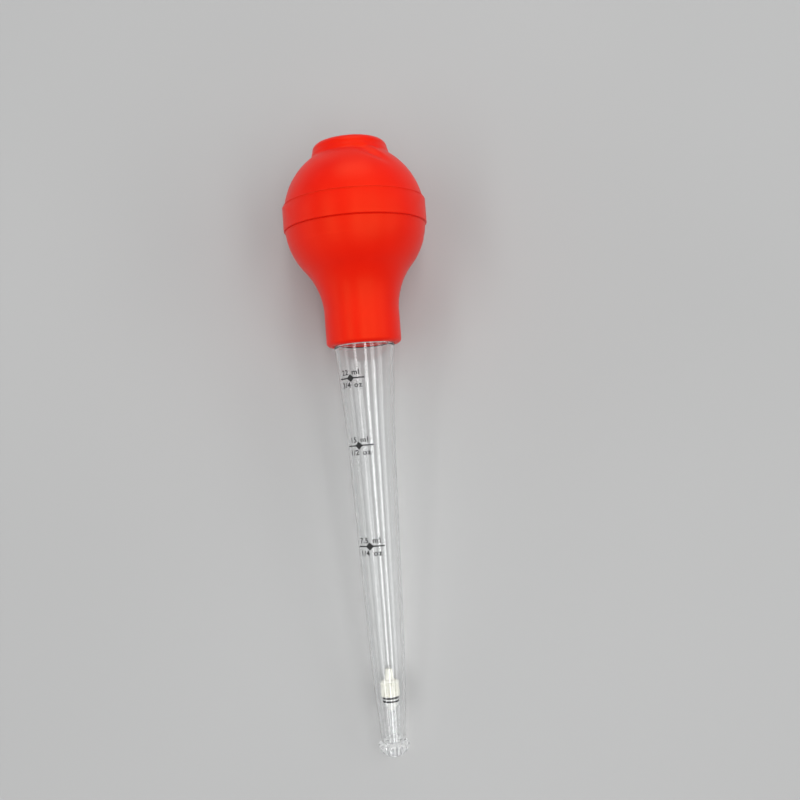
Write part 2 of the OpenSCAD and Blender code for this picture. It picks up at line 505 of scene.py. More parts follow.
@dataclass(frozen=True)
class MouldedPlasticFinish:
    """Opaque moulded plastic that lets a little light in.

    Attributes:
        name: the material's name.
        deep: colour in the darker patches.
        full: colour in the lighter patches.
        roughness: least and greatest roughness.
        glow: share of light that passes under the skin.
        clouds: cells for each metre of the mottling.
        grain: cells for each metre of the moulded grain, and its depth in metres.
        ior: index of refraction.
        glow_depth: how deep the light goes under the skin, in metres.
        glow_share: how much of that depth red, green and blue light reach.
    """

    name: str
    deep: tuple[float, float, float]
    full: tuple[float, float, float]
    roughness: tuple[float, float] = (0.28, 0.42)
    glow: float = 0.2
    clouds: float = 300.0
    grain: tuple[float, float] = (5000.0, 0.000006)
    ior: float = 1.49
    glow_depth: float = 0.001
    glow_share: tuple[float, float, float] = (1.0, 0.9, 0.7)

    def build(self) -> bpy.types.Material:
        """Builds the material: cloudy tint and roughness, and a fine moulded grain.

        Returns:
            The material.
        """
        graph = Graph(self.name)
        place = graph.coordinates()
        clouds = graph.noise(place, self.clouds, 4.0)
        graph.tint(clouds, [(0.3, self.deep), (0.7, self.full)])
        graph.join(graph.spread(clouds, *self.roughness), graph.shader.inputs["Roughness"])
        graph.bump([(graph.noise(place, self.grain[0], 2.0), self.grain[1])])
        graph.fix(IOR=self.ior, Subsurface_Weight=self.glow, Subsurface_Scale=self.glow_depth,
                  Subsurface_Radius=self.glow_share)
        return graph.material


@dataclass(frozen=True)
class InkFinish:
    """Screen-printed ink: almost black, dull, worn thin in specks.

    Attributes:
        name: the material's name.
        full: colour of the solid ink.
        worn: colour where it is rubbed.
        specks: cells for each metre of the wear, and its depth in metres.
        wear: levels of the specks at which the ink is still solid and is worn.
        roughness: least and greatest roughness.
    """

    name: str
    full: tuple[float, float, float] = (0.004, 0.004, 0.004)
    worn: tuple[float, float, float] = (0.07, 0.07, 0.07)
    specks: tuple[float, float] = (2400.0, 0.000004)
    wear: tuple[float, float] = (0.58, 0.72)
    roughness: tuple[float, float] = (0.35, 0.7)

    def build(self) -> bpy.types.Material:
        """Builds the material: fine specks of wear in colour and roughness.

        Returns:
            The material.
        """
        graph = Graph(self.name)
        specks = graph.noise(graph.coordinates(), self.specks[0], 3.0, 0.65)
        graph.tint(specks, [(self.wear[0], self.full), (self.wear[1], self.worn)])
        graph.join(graph.spread(specks, *self.roughness), graph.shader.inputs["Roughness"])
        graph.bump([(specks, self.specks[1])])
        return graph.material


@dataclass(frozen=True)
class FloorFinish:
    """Plain pale studio floor, dull, with a hardly visible unevenness.

    Attributes:
        name: the material's name.
        deep: colour in the darker patches.
        full: colour in the lighter patches.
        clouds: cells for each metre of the mottling.
        roughness: roughness of the surface.
    """

    name: str = "pale_floor"
    deep: tuple[float, float, float] = (0.44, 0.44, 0.435)
    full: tuple[float, float, float] = (0.47, 0.47, 0.465)
    clouds: float = 3.0
    roughness: float = 0.75

    def build(self) -> bpy.types.Material:
        """Builds the material: a very faint cloudy tint.

        Returns:
            The material.
        """
        graph = Graph(self.name)
        graph.tint(graph.noise(graph.coordinates(), self.clouds, 2.0),
                   [(0.3, self.deep), (0.7, self.full)])
        graph.fix(Roughness=self.roughness)
        return graph.material


# ---------------------------------------------------------------- bulb

@dataclass(frozen=True)
class Fold:
    """One soft hollow or swelling of the skin beside a crease.

    Attributes:
        height: how far the skin moves out, or in when negative, in millimetres.
        beside: distance of its middle line from the crease.
        width: reach of its bell curve across the crease.
        length: reach of its bell curve along the crease.
    """

    height: float
    beside: float
    width: float
    length: float

    def shift(self, away: Array, along: Array) -> Array:
        """Gives the height times a bell curve of the distances across and along."""
        return self.height * np.exp(-((away - self.beside) / self.width) ** 2
                                    - (along / self.length) ** 2)


@dataclass(frozen=True)
class Wave:
    """One slow wave of the skin round the chamber: its height, count and phase."""

    height: float
    count: int
    phase: float

    def shift(self, angle: Array) -> Array:
        """Gives the height times the sine of the counted angle, less one, so never outwards."""
        return self.height * (np.sin(self.count * angle + self.phase) - 1.0)


@dataclass
class SqueezeBulb:
    """The hollow one-piece silicone bulb.

    From the neck's edge: a rounded lip, a straight neck, a hollow sweep, the lower and upper
    halves of the chamber with a raised belt between them, and a flat-ended boss. The sizes
    are in millimetres.
    """

    axis: Axis
    finish: bpy.types.Material
    neck_z: float = 162.5
    neck_r: float = 15.0
    neck_lip: float = 1.8
    mouth_round: float = 0.3
    pocket_r: float = 12.4
    pocket: float = 0.8
    neck_straight: float = 13.2
    flare_r: float = 28.0
    chamber_r: float = 28.4
    stretch: float = 3.2
    wall: float = 2.4
    belt_below: float = 2.3
    belt_w: float = 10.2
    belt_proud: float = 0.5
    belt_plain: float = 2.0
    belt_rows: int = 24
    belt_fade: tuple[float, float] = (9.0, 0.6)
    belt_sides: tuple[float, float] = (0.80, 0.99)
    belt_step: float = 0.3
    belt_join: float = 0.15
    seam_r: float = 0.28
    boss_r: float = 15.2
    boss_flare: float = 0.5
    boss_reach: float = 29.3
    boss_round: float = 3.0
    boss_fillet: float = 2.0
    bore_r: float = 11.05
    bore_len: float = 25.0
    chamber_foot_deg: float = 48.0
    crease_at: tuple[float, float] = (27.0, 235.6)
    crease_run: tuple[float, float] = (0.80, -0.60)
    folds: tuple[Fold, ...] = (Fold(-0.80, 0.0, 1.7, 5.0), Fold(0.45, 2.9, 1.5, 4.5))
    waves: tuple[Wave, ...] = (Wave(0.05, 2, 0.7), Wave(0.04, 3, 0.0))
    waves_reach: float = 8.0
    calm_r: float = 2.0
    skin_share: tuple[float, float] = (0.7, 0.8)
    dome_rise: float = 14.0
    segments: int = 200
    step: float = 0.55

    def __post_init__(self) -> None:
        """Works out where the sweep and the two halves of the chamber stand."""
        reach = self.flare_r + self.chamber_r
        self.flare_z = self.neck_z + self.neck_straight
        self.flare_c = self.neck_r + self.flare_r
        self.lower_z = self.flare_z + math.sqrt(reach ** 2 - self.flare_c ** 2)
        self.upper_z = self.lower_z + self.stretch
        self.belt_z = self.lower_z - self.belt_below
        self.boss_z = self.upper_z + self.boss_reach

    def belt(self) -> Array:
        """Profile of the belt: a fine seam groove, a crisp lower edge and a full upper edge.

        Returns:
            Rows of radius and station.
        """
        low, high = self.belt_z, self.belt_z + self.belt_w
        root = math.sqrt(self.chamber_r ** 2 - (low - self.lower_z) ** 2)
        crest = self.chamber_r + self.belt_proud
        seam = arc(root, low, self.seam_r, -90, -180, 4)
        edge = arc(crest - self.seam_r, low + self.seam_r, self.seam_r, -90, 0, 4)
        face = np.column_stack([np.full(self.belt_rows, crest),
                                np.linspace(low + self.belt_plain, high, self.belt_rows)])
        return np.vstack([seam, edge, face])

    def outside(self) -> Array:
        """Profile of the outer skin, from the mouth of the neck to the middle of the boss.

        Returns:
            Rows of radius and station.
        """
        meet = math.degrees(math.atan((self.lower_z - self.flare_z) / self.flare_c))
        low = math.degrees(math.asin((self.belt_z - self.seam_r - self.lower_z)
                                     / self.chamber_r))
        join_z = self.belt_z + self.belt_w + self.belt_join
        high = math.degrees(math.asin((join_z - self.upper_z) / self.chamber_r))
        side_r = self.boss_r + self.boss_flare
        fillet_r = side_r + self.boss_fillet
        root = math.degrees(math.acos(fillet_r / (self.chamber_r + self.boss_fillet)))
        root_z = self.upper_z + (self.chamber_r + self.boss_fillet) * math.sin(
            math.radians(root))
        return np.vstack([
            arc(self.neck_r - self.neck_lip, self.neck_z + self.neck_lip, self.neck_lip,
                -90, 0, 12),
            arc(self.flare_c, self.flare_z, self.flare_r, 180, 180 - meet, 40),
            arc(0, self.lower_z, self.chamber_r, -meet, low, 40)[1:],
            self.belt(),
            arc(0, self.upper_z, self.chamber_r, high, root, 40),
            arc(fillet_r, root_z, self.boss_fillet, 180 + root, 180, 8)[1:],
            arc(self.boss_r - self.boss_round, self.boss_z - self.boss_round,
                self.boss_round, 0, 90, 12),
            [[0.0, self.boss_z]]])

    def inside(self) -> Array:
        """Profile of the air chamber and the neck's bore, from the roof to the mouth.

        Returns:
            Rows of radius and station.
        """
        inner = self.chamber_r - self.wall
        top = self.neck_z + self.bore_len
        return np.vstack([
            arc(0, self.upper_z, inner, 90, 0, 30),
            arc(0, self.lower_z, inner, 0, -self.chamber_foot_deg, 20),
            [[self.bore_r, top], [self.bore_r, self.neck_z + self.pocket],
             [self.pocket_r, self.neck_z + self.pocket]],
            arc(self.pocket_r + self.mouth_round, self.neck_z + self.mouth_round,
                self.mouth_round, 180, 270, 4)])

    def fade_belt(self, angle: Array, radius: Array, station: Array) -> Array:
        """Lets the belt's upper edge run out into the ball, softly above and crisply aside.

        The height of the belt over the ball falls along a smooth step over a length that
        shrinks as the sine of the angle nears one.

        Args:
            angle: angles of the grid in radians.
            radius: radii of the grid in millimetres.
            station: stations of the grid in millimetres.

        Returns:
            The grid's new radii.
        """
        high = self.belt_z + self.belt_w
        soft, crisp = self.belt_fade
        share = smooth_step(*self.belt_sides, np.abs(np.sin(angle)))
        fade = soft + (crisp - soft) * share
        left_over = self.belt_step * share
        rise = np.maximum(station - self.upper_z, 0.0)
        ball = np.sqrt(self.chamber_r ** 2 - np.minimum(rise, self.chamber_r) ** 2)
        on_belt = ((station > self.belt_z + self.belt_plain / 2.0)
                   & (station < high + SLACK) & (radius > self.chamber_r))
        run_out = smooth_step(0.0, 1.0, (station - high + fade) / (fade + left_over))
        return np.where(on_belt, radius - run_out * (radius - ball), radius)

    def hand_made(self, angle: Array, radius: Array, station: Array) -> tuple[Array, Array]:
        """Adds the crease beside the boss and the slight unevenness of soft silicone.

        The skin moves in or out by the crease's folds, each a bell curve of the distances
        across and along the crease, and by slow waves round the chamber, which die out
        towards the neck and the axis. The chamber's inner wall stays as it is.

        Args:
            angle: angles of the grid in radians.
            radius: radii of the grid in millimetres.
            station: stations of the grid in millimetres.

        Returns:
            The grid's new radii and stations.
        """
        turn, place = self.crease_at
        ahead, aslant = self.crease_run
        side = (angle - 2.0 * math.pi - math.radians(turn)) * radius
        run = station - place
        along = ahead * side + aslant * run
        away = ahead * run - aslant * side
        middle_r = self.chamber_r - self.wall / 2.0
        far = np.hypot(radius, np.maximum(station - self.upper_z, 0.0))
        skin = (radius > middle_r) | (far > middle_r)
        folds = sum(fold.shift(away, along) for fold in self.folds)
        waves = sum(wave.shift(angle) for wave in self.waves)
        chamber = (smooth_step(self.flare_z - self.waves_reach, self.lower_z, station)
                   * smooth_step(self.calm_r, self.boss_r, radius))
        shift = np.where(skin, folds + waves * chamber, 0.0)
        outwards, onwards = self.skin_share
        lean = onwards * smooth_step(self.upper_z, self.upper_z + self.dome_rise, station)
        return (self.fade_belt(angle, radius, station) + shift * outwards,
                station + shift * lean)

    def build(self) -> bpy.types.Object:
        """The soft belt is pressed flat where it meets the table.

        Returns:
            The bulb's object.
        """
        profile = np.vstack([self.inside(), self.outside()])
        points, faces = revolve(self.axis, thicken(profile, self.step), self.segments,
                                Ends.POLES, self.hand_made)
        points[:, 2] = np.maximum(points[:, 2], 0.0)
        piece = make_piece("silicone_bulb", points, faces)
        piece.data.materials.append(self.finish)
        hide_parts("squeeze_bulb")
        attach(piece, "bulb")
        return piece


# ---------------------------------------------------------------- tube and its print

@dataclass
class GraduatedTube:
    """The clear tube: a straight seat, a closing tip, a plain cone, an opening top, a spigot.

    The sizes are in millimetres.
    """

    axis: Axis
    finish: bpy.types.Material
    seat_z: float = 5.9
    seat_depth: float = 2.0
    seat_r: float = 3.85
    shoulder_z: float = 163.0
    shoulder_round: float = 1.1
    middle_r: float = 7.23
    taper: float = 0.0308
    low_z: float = 50.0
    high_z: float = 117.0
    tip_close: float = 0.00056
    top_open: float = 0.00073
    wall: float = 1.3
    spigot_r: float = 11.0
    spigot_wall: float = 1.4
    spigot_len: float = 22.0
    throat: float = 1.3
    rim_round: float = 0.35
    outside_rows: int = 120
    bore_rows: int = 110
    segments: int = 160
    step: float = 0.9

    def outer(self, station: Array | float) -> Array:
        """Outer radius: a cone, less a parabola towards the tip, plus one towards the top.

        Args:
            station: one station or more, in millimetres.

        Returns:
            The radius at each station.
        """
        station = np.asarray(station, float)
        return (self.middle_r + self.taper * (station - self.low_z)
                - self.tip_close * np.maximum(0.0, self.low_z - station) ** 2
                + self.top_open * np.maximum(0.0, station - self.high_z) ** 2)

    def wall_at(self, station: Array) -> Array:
        """Thickness of the wall, which falls evenly from the middle to the tip.

        Args:
            station: stations in millimetres.

        Returns:
            The thickness at each station.
        """
        tip_wall = float(self.outer(self.seat_z)) - self.seat_r
        share = np.maximum(0.0, self.low_z - station) / (self.low_z - self.seat_z)
        return self.wall + (tip_wall - self.wall) * share

    def profile(self) -> Array:
        """Section of the wall: up the outside, over the spigot's rim, down the bore.

        Returns:
            Rows of radius and station.
        """
        top_r = float(self.outer(self.shoulder_z))
        rim_z = self.shoulder_z + self.spigot_len
        spigot_in = self.spigot_r - self.spigot_wall
        bend = self.shoulder_round
        stations = np.linspace(self.seat_z + self.rim_round, self.shoulder_z - bend,
                               self.outside_rows)
        outside = np.column_stack([self.outer(stations), stations])
        throat_z = self.shoulder_z - self.throat
        down = np.linspace(throat_z, self.seat_z + self.seat_depth, self.bore_rows)
        bore = np.column_stack([self.outer(down) - self.wall_at(down), down])
        rim = self.rim_round
        tip_r = float(self.outer(self.seat_z + rim))
        return np.vstack([
            arc(tip_r - rim, self.seat_z + rim, rim, -90, -5, 4),
            outside,
            arc(top_r - bend - EDGE / 2.0, self.shoulder_z - bend, bend, 10, 90, 8),
            [[self.spigot_r + EDGE, self.shoulder_z]],
            arc(self.spigot_r - rim, rim_z - rim, rim, 0, 90, 4),
            arc(spigot_in + rim, rim_z - rim, rim, 90, 180, 4),
            [[spigot_in, throat_z]],
            bore,
            [[self.seat_r, self.seat_z + self.seat_depth - EDGE],
             [self.seat_r, self.seat_z + 1.5 * EDGE], [self.seat_r + EDGE, self.seat_z]]])

    def build(self) -> bpy.types.Object:
        """Returns:
            The tube's object.
        """
        points, faces = revolve(self.axis, thicken(self.profile(), self.step),
                                self.segments, Ends.LOOP)
        piece = make_piece("clear_tube", points, faces, sharp_deg=50.0)
        piece.data.materials.append(self.finish)
        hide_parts("graduated_tube")
        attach(piece, "tube")
        return piece


@dataclass(frozen=True)
class Mark:
    """One printed volume mark.

    Attributes:
        station: where its line runs round the tube.
        centre_deg: angle of its diamond, to the left of the top when negative.
        above: words on the bulb's side of the line.
        below: words on the tip's side.
    """

    station: float
    centre_deg: float
    above: str
    below: str


@dataclass
class PrintedScale:
    """The printed marks: a thin line with a diamond, a volume above it and another below.

    The sizes are in millimetres, the gaps of letters and words are factors.
    """

    axis: Axis
    tube: GraduatedTube
    finish: bpy.types.Material
    marks: tuple[Mark, ...] = (
        Mark(149.1, -34.0, "22 ml", "3/4 oz"),
        Mark(122.5, -30.5, "15 ml", "1/2 oz"),
        Mark(82.9, -25.5, "7.5 ml", "1/4 oz"))
    line_len: float = 12.0
    line_w: float = 0.5
    line_columns: int = 96
    diamond_w: float = 3.5
    diamond_h: float = 3.2
    text_h: float = 2.9
    text_widen: float = 1.12
    text_bold: float = 0.05
    letter_gap: float = 1.12
    word_gap: float = 1.4
    text_steps: int = 6
    text_rise: tuple[float, float] = (2.2, -2.8)
    ink: float = 0.03
    lift: float = 0.01

    def wrap(self, name: str, flat: Array, faces: Sequence, mark: Mark) -> bpy.types.Object:
        """Lays a flat figure on the tube and gives it the ink's thickness.

        A point x across and y along goes to the angle of x over the tube's radius, at the
        station of y, just outside the wall. A second sheet a little further out closes it.

        Args:
            name: the piece's name.
            flat: rows of x and y in millimetres, from the mark's middle.
            faces: lists of point numbers, seen from outside.
            mark: the mark that it belongs to.

        Returns:
            The ink as a closed object.
        """
        station = mark.station + flat[:, 1]
        radius = self.tube.outer(station) + self.lift
        theta = math.radians(mark.centre_deg) + flat[:, 0] / radius
        low = self.axis.place(theta, radius, station)
        piece = make_piece(name, low, faces, smooth=False)
        solid = piece.modifiers.new("ink_thickness", "SOLIDIFY")
        solid.thickness = self.ink * MM
        solid.offset = 1.0
        return piece

    def strip(self, width: float, height: Callable[[Array], Array],
              columns: int) -> tuple[Array, list]:
        """A flat figure along a line: a grid of two rows, half a height above and below.

        Args:
            width: length of the line in millimetres.
            height: gives the figure's height at each place along the line.
            columns: number of equal steps along the line.

        Returns:
            Rows of x and y in millimetres, and the faces.
        """
        across = np.linspace(-width / 2.0, width / 2.0, columns + 1)
        half = height(across) / 2.0
        points = np.vstack([np.column_stack([across, -half]), np.column_stack([across, half])])
        here = np.arange(columns)
        faces = np.column_stack([here, here + 1, here + columns + 2, here + columns + 1])
        return points, faces.tolist()

    def words(self, text: str, raise_by: float) -> tuple[Array, list]:
        """Outlines of a word as a fine flat mesh, centred, at a given height.

        Args:
            text: the characters.
            raise_by: distance of the text's middle line above the mark's line.

        Returns:
            Rows of x and y in millimetres, and the faces.
        """
        curve = bpy.data.curves.new("words", "FONT")
        curve.body = text
        curve.size = self.text_h
        curve.space_word = self.word_gap
        curve.space_character = self.letter_gap
        curve.align_x = "CENTER"
        curve.align_y = "CENTER"
        curve.resolution_u = self.text_steps
        curve.offset = self.text_bold
        holder = bpy.data.objects.new("words", curve)
        bpy.context.scene.collection.objects.link(holder)
        bpy.context.view_layer.update()
        mesh = holder.to_mesh()
        flat = np.zeros(3 * len(mesh.vertices))
        mesh.vertices.foreach_get("co", flat)
        faces = [list(face.vertices) for face in mesh.polygons]
        holder.to_mesh_clear()
        bpy.data.objects.remove(holder)
        bpy.data.curves.remove(curve)
        points = flat.reshape(-1, 3)[:, :2]
        return points * [self.text_widen, 1.0] + [0.0, raise_by], faces

    def build(self) -> list[bpy.types.Object]:
        """Builds one ink piece for each mark's line and for each of its words.

        Returns:
            The ink's objects.
        """
        pieces = []
        for mark in self.marks:
            tag = mark.above.replace(" ", "_").replace(".", "_")
            half = self.diamond_w / 2.0
            figure = self.strip(self.line_len, lambda x: np.maximum(
                self.line_w, self.diamond_h * (1.0 - np.abs(x) / half)), self.line_columns)
            pieces.append(self.wrap(f"mark_line_{tag}", *figure, mark))
            for side, text, rise in zip(("above", "below"), (mark.above, mark.below),
                                        self.text_rise):
                pieces.append(self.wrap(f"mark_{side}_{tag}", *self.words(text, rise), mark))
        for piece in pieces:
            piece.data.materials.append(self.finish)
            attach(piece, "tube")
        return pieces


# ---------------------------------------------------------------- tip knob, stem and valve

@dataclass
class TipNozzle:
    """The clear faceted knob, its plug in the tube and the hollow tapered stem.

    The reach of the flutes is the share of their full depth at the knob's end, at the cheek,
    at the girdle and at the top face. The steps are the longest ones along the knob, the stem
    and the channel. The sizes are in millimetres.
    """

    axis: Axis
    finish: bpy.types.Material
    petals: int = 12
    end_r: float = 2.7
    cheek_r: float = 4.6
    cheek_z: float = 1.1
    knob_r: float = 6.4
    girdle_z: float = 4.4
    girdle_w: float = 0.25
    girdle_taper: float = 0.04
    top_r: float = 5.3
    seat_z: float = 5.9
    plug_r: float = 3.8
    plug_len: float = 1.6
    bevel: float = 0.3
    stem_foot_r: float = 1.0
    stem_top_r: float = 1.3
    hub_z: float = 18.0
    tenon: float = 3.0
    channel_r: float = 0.5
    flute: float = 0.75
    flute_reach: tuple[float, float, float, float] = (0.3, 0.8, 1.0, 0.5)
    cut_from_r: float = 4.0
    steps: tuple[float, float, float] = (0.25, 0.8, 1.0)
    segments: int = 192

    def profile(self) -> Array:
        """Section from the channel's mouth over the knob, plug and stem, and back inside.

        Returns:
            Rows of radius and station.
        """
        face_z = self.seat_z - EDGE / 2.0
        plug_z = self.seat_z + self.plug_len
        stem_z = self.hub_z + self.tenon
        bevel = self.bevel
        knob = np.array([[self.end_r, 0.0], [self.cheek_r, self.cheek_z],
                         [self.knob_r - self.girdle_taper, self.girdle_z - self.girdle_w],
                         [self.knob_r, self.girdle_z], [self.top_r, face_z]])
        stem = np.array([[self.plug_r, face_z], [self.plug_r, plug_z - bevel],
                         [self.plug_r - bevel, plug_z], [self.stem_foot_r + bevel, plug_z],
                         [self.stem_foot_r, plug_z + bevel + EDGE],
                         [self.stem_top_r, self.hub_z], [self.stem_top_r, stem_z]])
        channel = np.array([[self.channel_r, stem_z], [self.channel_r, bevel],
                            [self.channel_r + bevel, 0.0]])
        return np.vstack([thicken(part, step)
                          for part, step in zip((knob, stem, channel), self.steps)])

    def cut(self, angle: Array, radius: Array, station: Array) -> tuple[Array, Array]:
        """Cuts the petals as flat facets.

        Two ridges lie on the table. A valley lies half a petal beside each ridge, deeper the
        nearer it is to the girdle. From ridge to valley the surface is a straight chord: the
        radius is the product of both radii and the sine of the half petal, over the sum of
        each radius times the sine of the angle from its own line.

        Args:
            angle: angles of the grid in radians.
            radius: radii of the grid in millimetres.
            station: stations of the grid in millimetres.

        Returns:
            The grid's new radii, and its stations as they were.
        """
        half = math.pi / self.petals
        turn = (angle * self.petals / (2.0 * math.pi)) % 1.0
        from_ridge = np.abs(2.0 * turn - 1.0) * half
        reach = np.interp(station, [0.0, self.cheek_z, self.girdle_z, self.seat_z],
                          self.flute_reach)
        valley = radius - self.flute * reach * (radius / self.knob_r)
        chord = (radius * valley * math.sin(half)
                 / (radius * np.sin(from_ridge) + valley * np.sin(half - from_ridge)))
        end_face = (station < EDGE / 2.0) & (radius > self.channel_r + self.bevel + EDGE)
        return np.where((radius > self.cut_from_r) | end_face, chord, radius), station

    def build(self) -> bpy.types.Object:
        """Returns:
            The tip's object.
        """
        points, faces = revolve(self.axis, self.profile(), self.segments, Ends.LOOP, self.cut)
        piece = make_piece("faceted_tip", points, faces, sharp_deg=18.0)
        piece.data.materials.append(self.finish)
        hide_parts("tip_nozzle")
        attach(piece, "valve_stick")
        return piece


@dataclass
class DripValve:
    """The valve on the stem: hub with two seals, slit disc, and the ribbed cap with its spout.

    The seals are distances of the two rings above the hub's foot. The sizes are in
    millimetres.
    """

    axis: Axis
    white: bpy.types.Material
    ivory: bpy.types.Material
    rubber: bpy.types.Material
    soft: bpy.types.Material
    hub_z: float = 18.0
    stem_r: float = 1.3
    tenon: float = 3.0
    skirt_r: float = 1.75
    skirt_len: float = 2.5
    skirt_flare: tuple[float, float] = (0.35, 1.1)
    barrel_r: float = 2.85
    barrel_len: float = 2.8
    groove_r: float = 2.5
    groove_w: float = 0.7
    seals: tuple[float, float] = (3.4, 4.7)
    spigot_r: float = 2.75
    spigot_len: float = 3.4
    hub_channel_r: float = 0.7
    cap_gap: float = 0.1
    cap_r: float = 3.65
    cap_len: float = 6.2
    cap_bevel: float = 0.7
    ribs: int = 24
    rib_depth: float = 0.5
    rib_edge: tuple[float, float] = (0.15, 0.85)
    rib_fade: float = 0.3
    rib_wall: float = 0.5
    cap_bore_r: float = 2.8
    ceiling: float = 0.8
    spout_r: float = 1.4
    spout_foot_r: float = 1.75
    spout_len: float = 4.3
    spout_bore_r: float = 0.75
    segments: int = 192

    def __post_init__(self) -> None:
        """Works out the stations of the barrel, the cap and the disc."""
        self.barrel_z = self.hub_z + self.skirt_len
        self.cap_z = self.barrel_z + self.barrel_len
        self.disc_z = self.cap_z + self.spigot_len
        self.cap_top = self.cap_z + self.cap_gap + self.cap_len

    def groove(self, station: float) -> Array:
        """Profile of one seal groove round the barrel.

        Args:
            station: station of the groove's middle, in millimetres.

        Returns:
            Rows of radius and station.
        """
        half = self.groove_w / 2.0
        mouth = half + EDGE / 5.0
        rim_r = self.barrel_r - EDGE / 2.0
        return np.array([[rim_r, station - mouth], [self.groove_r, station - half],
                         [self.groove_r, station + half], [rim_r, station + mouth]])

    def hub(self) -> bpy.types.Object:
        """Builds the hub: skirt, grooved barrel, spigot, and its socket and channel.

        Returns:
            The hub's object.
        """
        low, high = (self.hub_z + place for place in self.seals)
        wider, higher = self.skirt_flare
        rim = 0.8 * EDGE
        profile = np.vstack([
            [[self.stem_r, self.hub_z], [self.skirt_r - EDGE, self.hub_z],
             [self.skirt_r, self.hub_z + EDGE], [self.skirt_r + wider, self.hub_z + higher],
             [self.barrel_r - EDGE, self.barrel_z - EDGE], [self.barrel_r, self.barrel_z]],
            self.groove(low), self.groove(high),
            [[self.barrel_r, self.cap_z - rim], [self.barrel_r - rim, self.cap_z],
             [self.spigot_r, self.cap_z], [self.spigot_r, self.disc_z - EDGE],
             [self.spigot_r - EDGE, self.disc_z], [self.hub_channel_r, self.disc_z],
             [self.hub_channel_r, self.hub_z + self.tenon],
             [self.stem_r, self.hub_z + self.tenon]]])
        points, faces = revolve(self.axis, profile, self.segments // 2, Ends.LOOP)
        piece = make_piece("white_hub", points, faces, sharp_deg=35.0)
        piece.data.materials.append(self.white)
        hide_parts("valve_hub")
        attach(piece, "valve_stick")
        return piece

    def ribbing(self, angle: Array, radius: Array, station: Array) -> tuple[Array, Array]:
        """Cuts the skirt between the finger ribs, by a flat-topped wave of the angle.

        Args:
            angle: angles of the grid in radians.
            radius: radii of the grid in millimetres.
            station: stations of the grid in millimetres.

        Returns:
            The grid's new radii, and its stations as they were.
        """
        wave = smooth_step(*self.rib_edge, 0.5 + 0.5 * np.cos(angle * self.ribs))
        low = self.cap_z + self.cap_gap + EDGE
        high = self.cap_top - self.cap_bevel - EDGE
        band = (smooth_step(low, low + self.rib_fade, station)
                * (1.0 - smooth_step(high - self.rib_fade, high, station)))
        skirt = np.where(radius > self.cap_r - self.rib_wall, 1.0, 0.0)
        return radius + skirt * band * (wave - 1.0) * self.rib_depth, station

    def cap(self) -> bpy.types.Object:
        """Builds the cap: ribbed skirt, bevelled top, tapered spout, and its bore.

        Returns:
            The cap's object.
        """
        low = self.cap_z + self.cap_gap
        shoulder = self.cap_top - self.cap_bevel
        tip = self.cap_top + self.spout_len
        rim, foot, end = 1.5 * EDGE, 2.5 * EDGE, 2.0 * EDGE
        skirt = thicken(np.array([[self.cap_r - rim, low], [self.cap_r, low + rim],
                                  [self.cap_r, shoulder]]), rim)
        top = np.array([[self.cap_r - self.cap_bevel, self.cap_top],
                        [self.spout_foot_r + foot, self.cap_top],
                        [self.spout_foot_r, self.cap_top + foot],
                        [self.spout_r, tip - end], [self.spout_r - end, tip],
                        [self.spout_bore_r, tip],
                        [self.spout_bore_r, self.disc_z + self.ceiling],
                        [self.cap_bore_r, self.disc_z + self.ceiling],
                        [self.cap_bore_r, low]])
        points, faces = revolve(self.axis, np.vstack([skirt, top]), self.segments,
                                Ends.LOOP, self.ribbing)
        piece = make_piece("ribbed_cap", points, faces, sharp_deg=35.0)
        piece.data.materials.append(self.ivory)
        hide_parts("valve_cap")
        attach(piece, "cap")
        return piece

    def dress_rubber(self) -> None:
        """Gives the seal rings and the slit disc, which keep their CAD shape, their finish."""
        for node, finish in (("seal_ring_lower", self.rubber),
                             ("seal_ring_upper", self.rubber), ("valve_disc", self.soft)):
            thing = bpy.data.objects[node]
            thing.data.materials.clear()
            thing.data.materials.append(finish)

    def build(self) -> list[bpy.types.Object]:
        """Builds hub and cap, and dresses the rubber parts."""
        self.dress_rubber()
        return [self.hub(), self.cap()]


# ---------------------------------------------------------------- studio

@dataclass(frozen=True)
class SoftBox:
    """A rectangular lamp whose long side runs along the table's length.

    Attributes:
        name: the lamp's name.
        place: its middle, in metres.
        size: its width across and its length along the table, in metres.
        power: its power in watts.
    """

    name: str
    place: tuple[float, float, float]
    size: tuple[float, float]
    power: float

    def hang(self, target: Array) -> bpy.types.Object:
        """Hangs the lamp, facing the target, with its long side kept level along Y.

        Args:
            target: the point at which it aims, in metres.

        Returns:
            The lamp's object.
        """
        back = np.array(self.place) - target
        back /= np.linalg.norm(back)
        length = np.array([0.0, 1.0, 0.0]) - back[1] * back
        length /= np.linalg.norm(length)
        turn = Matrix(np.column_stack([np.cross(length, back), length, back]).tolist())
        data = bpy.data.lights.new(self.name, "AREA")
        data.shape = "RECTANGLE"
        data.size, data.size_y = self.size
        data.energy = self.power
        lamp = bpy.data.objects.new(self.name, data)
        lamp.matrix_world = Matrix.Translation(self.place) @ turn.to_4x4()
        bpy.context.scene.collection.objects.link(lamp)
        return lamp


